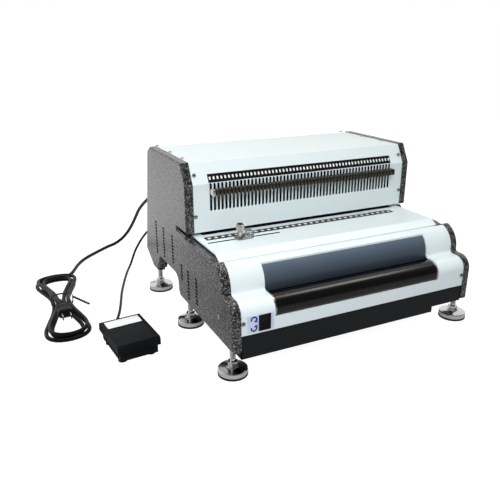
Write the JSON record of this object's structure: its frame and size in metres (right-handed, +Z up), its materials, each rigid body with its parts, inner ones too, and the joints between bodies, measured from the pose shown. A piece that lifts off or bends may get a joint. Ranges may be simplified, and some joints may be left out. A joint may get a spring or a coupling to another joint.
{
  "type": "electric coil binding machine",
  "caption": "Desk-top coil binding machine: slitted punch head with pull pins above a paper bed, powered coil roller in front, foot pedal and mains lead.",
  "frame": {"origin": "on the table under the middle of the machine's box, measured without the cords and the pedal", "axes": "+X to the operator's right along the hole row, +Y to the rear, +Z up"},
  "size_m": [0.6421, 0.6188, 0.263],
  "materials": {
    "hammertone": "hammered black and silver paint",
    "white_paint": "satin white powder coat",
    "slate_paint": "satin slate paint",
    "black_paint": "satin black paint",
    "zinc_steel": "zinc plated",
    "tool_steel": "ground",
    "foot_chrome": "polished",
    "nickel": "nickel over brass, knurled",
    "bronze": "oil bronze",
    "knob_black": "satin, olive black",
    "knob_silver": "bright",
    "roller_rubber": "smooth, semi-gloss",
    "black_rubber": "matte",
    "black_plastic": "fine texture",
    "strip_black": "printed strip, satin",
    "strip_grey": "printed strip, satin",
    "plate_blue": "satin film",
    "clear_grey": "translucent, polished edges",
    "motor_grey": "satin",
    "board_green": "circuit board with parts"
  },
  "bodies": {
    "machine": {"side_cover_left": "hammertone", "side_cover_right": "hammertone", "side_frame_left": "zinc_steel", "side_frame_right": "zinc_steel", "head_cover": "white_paint", "rear_panel": "white_paint", "bed_plate": "white_paint", "front_cover": "white_paint", "coil_trough": "slate_paint", "base_pan": "zinc_steel", "head_scale": "strip_black", "bed_scale": "strip_grey", "die_block": "tool_steel", "punch_guide": "tool_steel", "back_stop": "tool_steel", "guide_posts": "tool_steel", "return_springs": "tool_steel", "shaft_bearings": "bronze", "punch_gearmotor": "motor_grey", "tie_bar": "zinc_steel", "chip_chute": "zinc_steel", "tray_runners": "zinc_steel", "drive_belt": "black_rubber", "inserter_motor": "motor_grey", "motor_bracket": "zinc_steel", "control_board": "board_green", "switch_plate": "plate_blue", "switch_bezel": "black_plastic", "levelling_feet": "foot_chrome", "foot_soles": "black_rubber", "power_gland": "black_rubber", "power_cord": "black_rubber", "power_cord_hank": "black_rubber", "power_plug": "black_plastic", "plug_blades": "nickel", "cord_tie": "black_plastic", "pedal_gland": "black_rubber", "pedal_cord": "black_rubber", "pedal_base": "black_plastic", "pedal_pin": "tool_steel", "pedal_spring": "tool_steel"},
    "drive_shaft": {"cam_shaft": "tool_steel", "drive_cams": "tool_steel"},
    "ram": {"ram_bar": "tool_steel", "cam_followers": "tool_steel", "punch_pins": "tool_steel"},
    "pull_row": {"pull_pins": "knob_black"},
    "first_pull": {"pull_pin_left": "knob_silver"},
    "last_pull": {"pull_pin_right": "knob_black"},
    "roller": {"coil_roller": "roller_rubber", "roller_shaft": "zinc_steel", "roller_pulley": "zinc_steel"},
    "motor_drive": {"motor_pulley": "zinc_steel"},
    "tray": {"chip_tray": "black_paint"},
    "rocker": {"rocker_switch": "black_plastic"},
    "margin_guide": {"margin_stop": "clear_grey", "margin_shoe": "zinc_steel"},
    "thumb_screw": {"margin_knob": "nickel"},
    "treadle": {"pedal_treadle": "black_plastic"}
  },
  "joints": [
    {"name": "punch_drive", "type": "hinge", "parent": "machine", "child": "drive_shaft", "pos_m": [0, 0.04965, 0.222], "axis": [1, 0, 0], "range_deg": [0, 180]},
    {"name": "ram_slide", "type": "slide", "parent": "machine", "child": "ram", "axis": [0, 0, -1], "range_m": [0, 0.012], "stiffness_N_per_m": 2000, "springref_m": -0.02, "deforming": ["return_springs"]},
    {"name": "pull_row_slide", "type": "slide", "parent": "ram", "child": "pull_row", "axis": [0, -1, 0], "range_m": [0, 0.009]},
    {"name": "first_pull_slide", "type": "slide", "parent": "ram", "child": "first_pull", "axis": [0, -1, 0], "range_m": [0, 0.009]},
    {"name": "last_pull_slide", "type": "slide", "parent": "ram", "child": "last_pull", "axis": [0, -1, 0], "range_m": [0, 0.009]},
    {"name": "roller_spin", "type": "hinge", "parent": "machine", "child": "roller", "pos_m": [0, -0.17635, 0.09], "axis": [1, 0, 0], "continuous": true},
    {"name": "motor_drive_spin", "type": "hinge", "parent": "machine", "child": "motor_drive", "pos_m": [0.1725, -0.10135, 0.098], "axis": [1, 0, 0], "continuous": true},
    {"name": "tray_slide", "type": "slide", "parent": "machine", "child": "tray", "axis": [0, -1, 0], "range_m": [0, 0.19]},
    {"name": "rocker_tilt", "type": "hinge", "parent": "machine", "child": "rocker", "pos_m": [-0.1605, -0.19275, 0.078], "axis": [1, 0, 0], "range_deg": [-8, 8], "stiffness_Nm_per_rad": 0.02},
    {"name": "margin_slide", "type": "slide", "parent": "machine", "child": "margin_guide", "axis": [1, 0, 0], "range_m": [-0.044, 0.06]},
    {"name": "thumb_screw_turn", "type": "hinge", "parent": "margin_guide", "child": "thumb_screw", "pos_m": [-0.136, -0.06635, 0.165], "axis": [0, 0, 1], "range_deg": [-180, 180]},
    {"name": "treadle_press", "type": "hinge", "parent": "machine", "child": "treadle", "pos_m": [-0.31305, -0.01313, 0.023], "axis": [0.9962, 0.0872, 0], "range_deg": [0, 4], "stiffness_Nm_per_rad": 1, "springref_deg": -11.46, "deforming": ["pedal_spring"]}
  ],
  "couplings": [
    {"joint": "punch_drive", "follows": "ram_slide", "rad_per_m": 261.8},
    {"joint": "motor_drive_spin", "follows": "roller_spin", "ratio": 1.5}
  ]
}
